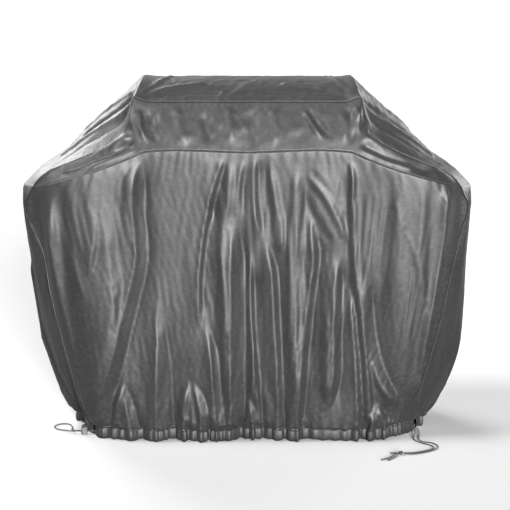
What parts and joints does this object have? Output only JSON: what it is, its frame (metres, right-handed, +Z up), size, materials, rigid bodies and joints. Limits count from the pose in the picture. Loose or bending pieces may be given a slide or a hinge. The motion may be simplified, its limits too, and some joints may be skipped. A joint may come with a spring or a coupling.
{
  "type": "grill cover",
  "caption": "Fitted fabric cover for a hooded grill with side shelves, with piped seams and a drawstring hem that gathers it at the floor.",
  "frame": {"origin": "on the floor under the middle of the cover, free drawstring ends left out", "axes": "+X to the right end seen from the front, +Y to the back, +Z up; the front is -Y"},
  "size_m": [1.45, 0.7625, 1.13],
  "materials": {
    "cover_cloth": "woven polyester, coated, satin sheen",
    "piping_cloth": "the same cloth cut on the bias round a cord",
    "casing_cloth": "folded hem, gathered",
    "drawstring": "round braid, dark grey",
    "lock_barrel": "moulded, fine matte",
    "lock_button": "moulded, fine matte",
    "spring_steel": "bright wire"
  },
  "bodies": {
    "cover": {"top_panel": "cover_cloth", "left_side_panel": "cover_cloth", "right_side_panel": "cover_cloth", "front_yoke_panel": "cover_cloth", "front_skirt_panel": "cover_cloth", "back_yoke_panel": "cover_cloth", "back_skirt_panel": "cover_cloth", "front_piping": "piping_cloth", "back_piping": "piping_cloth", "front_hem_casing": "casing_cloth", "rear_hem_casing": "casing_cloth", "front_drawstring_run": "drawstring", "rear_drawstring_run": "drawstring", "left_loop_cord": "drawstring", "right_outer_strand": "drawstring", "right_inner_strand": "drawstring", "upper_cord_end": "drawstring", "long_cord_end": "drawstring", "short_cord_end": "drawstring", "drawstring_knot": "drawstring"},
    "cord_lock": {"cord_lock_barrel": "lock_barrel", "cord_lock_spring": "spring_steel"},
    "cord_lock_button": {"cord_lock_button": "lock_button"}
  },
  "joints": [
    {"name": "cord_lock_slide", "type": "slide", "parent": "cover", "child": "cord_lock", "axis": [-1, 0, 0], "range_m": [0, 0.008]},
    {"name": "cord_lock_press", "type": "slide", "parent": "cord_lock", "child": "cord_lock_button", "axis": [0, 0, -1], "range_m": [0, 0.0035], "stiffness_N_per_m": 600, "springref_m": -0.003, "deforming": ["cord_lock_spring"]}
  ]
}
